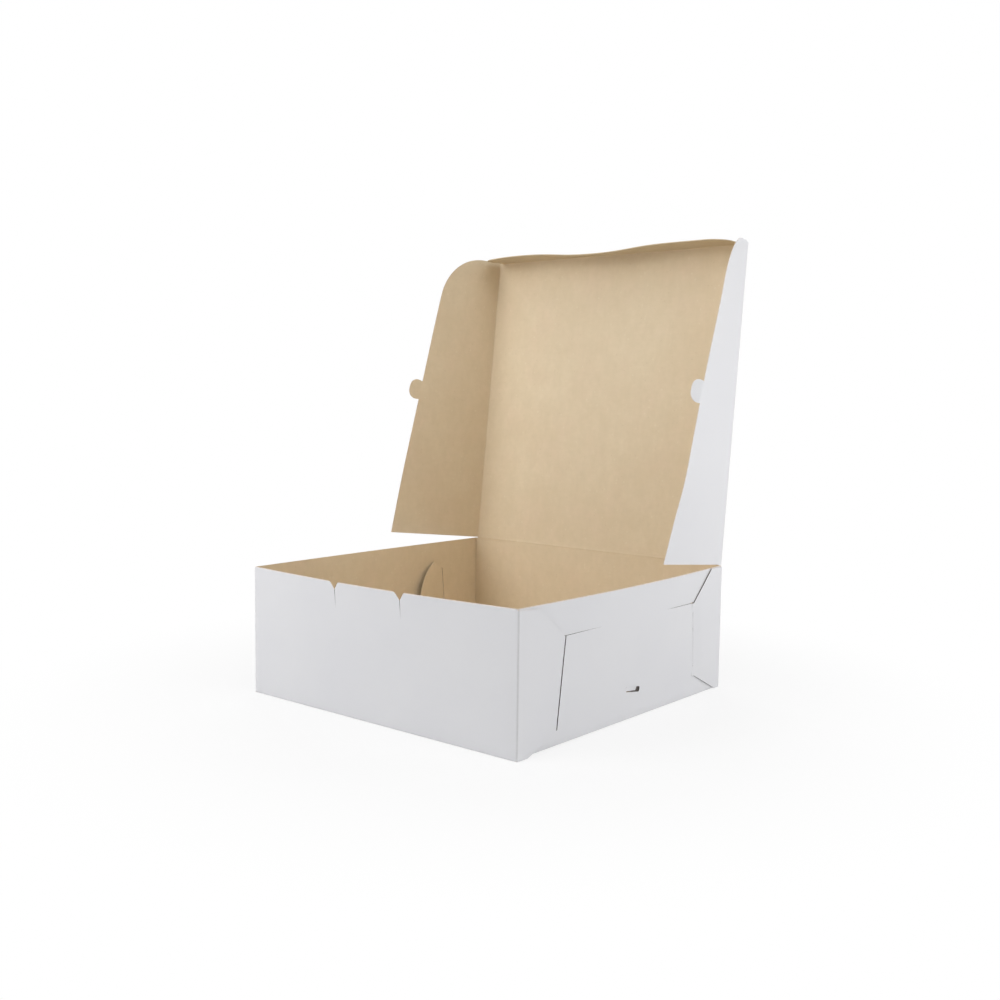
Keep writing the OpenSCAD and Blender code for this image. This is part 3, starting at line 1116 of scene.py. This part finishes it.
# Grid of a side flap, finer at its fold, its free edge and its top
FLAP_COLUMNS = steps(CREASE, 40, 3.0) + steps(44, 72, GRID) + steps(74, FLAP_W, 1.5)
FLAP_ROWS = steps(FLAP_GAP, LID_LEN - 20, GRID) + steps(LID_LEN - 18, LID_LEN, 2.0)


def side_flap(side):
    """One side flap past its crease."""
    return {
        "outline": flap_outline(side), "columns": FLAP_COLUMNS, "rows": FLAP_ROWS,
        "place": flap_place(side), "origin": (side * SHEET_FLAP, SHEET_LID),
    }


def crease_panel(place, first, last, rows, pitch, origin):
    """Strip over a moving fold, from first to last along it."""
    return {
        "outline": [(-CREASE, first), (CREASE, first), (CREASE, last), (-CREASE, last)],
        "columns": steps(-CREASE, CREASE, pitch), "rows": rows, "margin": CREASE_MARGIN,
        "place": place, "origin": origin,
    }


def side_crease(side):
    """Fold between the lid and a side flap."""
    out, inward = flap_way(side)
    stop = LID_LEN - FLAP_GAP + TOP_RISE[side_name(side)]
    place = crease_place(lambda s: lid_line(fold_x(side), s), X * side, out, LID_IN, inward)
    rows = steps(FLAP_GAP, stop, GRID)
    origin = (side * SHEET_FLAP_CREASE, SHEET_LID)
    return crease_panel(place, FLAP_BACK_GAP, stop, rows, CREASE_GRID, origin)


TUCK_WAY = LID_UP * math.cos(TUCK_FOLD) + LID_IN * math.sin(TUCK_FOLD)
TUCK_IN = LID_IN * math.cos(TUCK_FOLD) - LID_UP * math.sin(TUCK_FOLD)


def tuck_place(t, x):
    """Places the front flap with its wavy free edge."""
    share = (t - CREASE) / (TUCK_DEPTH - CREASE)
    dips = sum(deep * bell((x - at) / wide) for at, wide, deep in TUCK_DIPS)
    dip = share * (TUCK_SAG + dips)
    return lid_line(x, LID_LEN) + TUCK_WAY * t + TUCK_IN * dip, TUCK_IN.copy(), 0.0


def tuck_panel():
    """The front flap past its crease."""
    centre = (TUCK_DEPTH - TUCK_ROUND, TUCK_HALF - TUCK_ROUND)
    upper = arc(centre, TUCK_ROUND, 0, 90) + [(CREASE, TUCK_HALF)]
    outline = [(t, -x) for t, x in reversed(upper)] + upper
    return {
        "outline": outline, "columns": steps(CREASE, TUCK_DEPTH, TUCK_GRID),
        "rows": steps(-TUCK_HALF, TUCK_HALF, GRID),
        "place": tuck_place, "origin": (0, SHEET_TUCK),
    }


def tuck_crease():
    """Fold between the lid and the front flap."""
    place = crease_place(lambda x: lid_line(x, LID_LEN), LID_UP, lambda x: TUCK_WAY,
                         LID_IN, lambda x: TUCK_IN)
    rows = steps(-TUCK_HALF, TUCK_HALF, GRID)
    return crease_panel(place, -TUCK_HALF, TUCK_HALF, rows, CREASE_GRID, (0, SHEET_TUCK_CREASE))


def hinge_crease():
    """Fold between the back wall and the lid."""
    place = crease_place(lambda x: lid_line(x, 0), Z, lambda x: LID_UP, -Y, lambda x: LID_IN, BEAD)
    rows = steps(-LID_HALF, LID_HALF, GRID)
    return crease_panel(place, -LID_HALF, LID_HALF, rows, HINGE_GRID, (0, SHEET_HINGE))


# Pieces and the bodies they ride on

def build_tray():
    """The tray's sheet, and its tongues, each with a mesh of its own."""
    panels = [end_walls()]
    for side in (-1, 1):
        panels += [side_wall(side), slot_waste(side), wing(side, -1), wing(side, 1)]
    tray = sheet_piece("tray_sheet", panels)
    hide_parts("tray")
    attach(tray, "tray")
    for side in (-1, 1):
        for end in (-1, 1):
            name = f"tongue_{corner_name(side, end)}"
            piece = sheet_piece(name, [tongue(side, end)], rim=KRAFT)
            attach(piece, "tray")
            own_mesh(piece)


def build_lid():
    """The lid and its hinge."""
    lid = sheet_piece("lid_panel", [lid_panel()])
    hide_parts("lid")
    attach(lid, "lid")
    hinge = sheet_piece("hinge_crease", [hinge_crease()])
    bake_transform(hinge, "tray", "lid", start=lid_line(0, 0) * MM - Z * CREASE * MM,
             end=lid_line(0, CREASE) * MM)


def build_side_flaps():
    """The side flaps, each with a mesh of its own, and their creases."""
    for side in (-1, 1):
        name = f"lid_{side_name(side)}_flap"
        flap = sheet_piece(f"{side_name(side)}_flap_panel", [side_flap(side)])
        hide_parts(name)
        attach(flap, name)
        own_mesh(flap)
        crease = sheet_piece(f"{side_name(side)}_flap_crease", [side_crease(side)])
        middle = LID_LEN / 2
        out = flap_way(side)[0](middle)
        start = lid_line(fold_x(side) - side * CREASE, middle)
        end = lid_line(fold_x(side), middle) + out * CREASE
        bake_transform(crease, "lid", name, start=start * MM, end=end * MM)


def build_front_flap():
    """The front flap and its crease."""
    # The front flap's kraft face and its cut edges are drawn with painted shade
    tuck = sheet_piece("tuck_panel", [tuck_panel()], SHADE_PAINTED_KRAFT, SHADE_PAINTED_KRAFT)
    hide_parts("lid_front_flap")
    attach(tuck, "lid_front_flap")
    crease = sheet_piece("tuck_crease", [tuck_crease()])
    start = lid_line(0, LID_LEN - CREASE)
    end = lid_line(0, LID_LEN) + TUCK_WAY * CREASE
    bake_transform(crease, "lid", "lid_front_flap", start=start * MM, end=end * MM)


build_tray()
build_lid()
build_side_flaps()
build_front_flap()


# Camera at the photograph's viewing angle, in a square frame

CAMERA_AZIMUTH = math.radians(39.50)
CAMERA_ELEVATION = math.radians(5.16)
CAMERA_ROLL = math.radians(0.70)
CAMERA_AWAY = 3.5
CAMERA_ASIDE = 0.0260
CAMERA_ABOVE = 0.5749
CAMERA_CLIP = 100
FOCAL_SHARE = 1.1514
SENSOR = 36.0


def add_camera():
    """Camera placed by its distance, in widths of the tray, from the middle of the tray's underside."""
    az, el = CAMERA_AZIMUTH, CAMERA_ELEVATION
    back = Vector((math.sin(az) * math.cos(el), -math.cos(az) * math.cos(el), math.sin(el)))
    level = Vector((math.cos(az), math.sin(az), 0))
    upright = back.cross(level)
    right = level * math.cos(CAMERA_ROLL) + upright * math.sin(CAMERA_ROLL)
    up = upright * math.cos(CAMERA_ROLL) - level * math.sin(CAMERA_ROLL)
    data = bpy.data.cameras.new("camera")
    data.sensor_width = SENSOR
    data.lens = SENSOR * FOCAL_SHARE
    data.clip_end = CAMERA_CLIP
    camera = bpy.data.objects.new("camera", data)
    place = (right * CAMERA_ASIDE + up * CAMERA_ABOVE + back * CAMERA_AWAY) * 2 * HALF * MM
    turn = Matrix((right, up, back)).transposed().to_4x4()
    camera.matrix_world = Matrix.Translation(place) @ turn
    bpy.context.scene.collection.objects.link(camera)
    bpy.context.scene.camera = camera


# Light, floor and background

# Lamps: place in metres, size and power, all aimed at one point in the box
LAMPS = {
    "front_left": ((-0.45, -0.75, 0.70), 0.6, 3.5),
    "front": ((-0.35, -1.10, 0.45), 0.6, 4.2),
    "overhead": ((0.35, -0.20, 0.95), 0.6, 2.0),
    "right": ((1.20, -0.20, 0.90), 1.0, 2.6),
    "low_right": ((1.00, 0.10, 0.22), 0.5, 2.6),
    "back_right": ((0.55, 0.60, 0.25), 0.4, 1.2),
    "back_left": ((-0.90, 0.90, 0.70), 1.0, 8.0),
}
LAMP_AIM = Vector((0, 0, 0.15))


def add_lamp(name, place, size, power):
    """Square area lamp that faces the box."""
    data = bpy.data.lights.new(name, "AREA")
    data.size = size
    data.energy = power
    lamp = bpy.data.objects.new(name, data)
    lamp.location = place
    lamp.rotation_euler = (LAMP_AIM - Vector(place)).to_track_quat("-Z", "Y").to_euler()
    bpy.context.scene.collection.objects.link(lamp)


def seen_rays(tree):
    """1 for the rays that show the background: the camera's, and those in gloss and glass."""
    path = add(tree, "ShaderNodeLightPath").outputs
    mirrored = math_node(tree, "MAXIMUM", path["Is Glossy Ray"], path["Is Transmission Ray"])
    return math_node(tree, "MAXIMUM", path["Is Camera Ray"], mirrored)


# Light from all round, and the floor: width and drop in metres, grey of its paint, and where it fades
# to white from the middle of the box, and from which share of white
AMBIENT = 0.15
FLOOR_SIZE = 30.0
FLOOR_DROP = 0.0002
FLOOR_PAINT = 0.88
FLOOR_FADE = (0.14, 0.40)
FLOOR_WHITE = 0.80


def add_world():
    """White where the camera sees it, with a plain grey ambient light."""
    world = bpy.data.worlds.new("world")
    world.use_nodes = True
    tree = world.node_tree
    tree.nodes.clear()
    ambient = add(tree, "ShaderNodeBackground", Color=(1, 1, 1, 1), Strength=AMBIENT)
    white = add(tree, "ShaderNodeBackground", Color=(1, 1, 1, 1), Strength=1.0)
    both = add(tree, "ShaderNodeMixShader", i0=seen_rays(tree), i1=ambient.outputs[0], i2=white.outputs[0])
    add(tree, "ShaderNodeOutputWorld", Surface=both.outputs[0])
    bpy.context.scene.world = world


def floor_material():
    """Pale floor that keeps the box's shadow near it and fades to white further away."""
    material = bpy.data.materials.new("floor")
    material.use_nodes = True
    tree = material.node_tree
    tree.nodes.clear()
    place = add(tree, "ShaderNodeNewGeometry").outputs["Position"]
    away = add(tree, "ShaderNodeVectorMath", {"operation": "LENGTH"}, i0=place).outputs["Value"]
    fade = add(tree, "ShaderNodeMapRange", {"interpolation_type": "SMOOTHSTEP"}, Value=away,
               From_Min=FLOOR_FADE[0], From_Max=FLOOR_FADE[1], To_Min=FLOOR_WHITE, To_Max=1.0).outputs[0]
    share = math_node(tree, "MULTIPLY", fade, seen_rays(tree))
    paint = add(tree, "ShaderNodeBsdfDiffuse", Color=(FLOOR_PAINT, FLOOR_PAINT, FLOOR_PAINT, 1))
    glow = add(tree, "ShaderNodeEmission", Color=(1, 1, 1, 1), Strength=1.0)
    both = add(tree, "ShaderNodeMixShader", i0=share, i1=paint.outputs[0], i2=glow.outputs[0])
    add(tree, "ShaderNodeOutputMaterial", Surface=both.outputs[0])
    return material


def add_floor():
    """Wide floor just under the box."""
    half = FLOOR_SIZE / 2
    mesh = bpy.data.meshes.new("floor")
    corners = [(-half, -half, -FLOOR_DROP), (half, -half, -FLOOR_DROP),
               (half, half, -FLOOR_DROP), (-half, half, -FLOOR_DROP)]
    mesh.from_pydata(corners, [], [(0, 1, 2, 3)])
    mesh.materials.append(floor_material())
    floor = bpy.data.objects.new("floor", mesh)
    bpy.context.scene.collection.objects.link(floor)


add_camera()
for lamp_name, (lamp_place, lamp_size, lamp_power) in LAMPS.items():
    add_lamp(lamp_name, lamp_place, lamp_size, lamp_power)
add_world()
add_floor()
bpy.context.scene.view_settings.view_transform = "Standard"
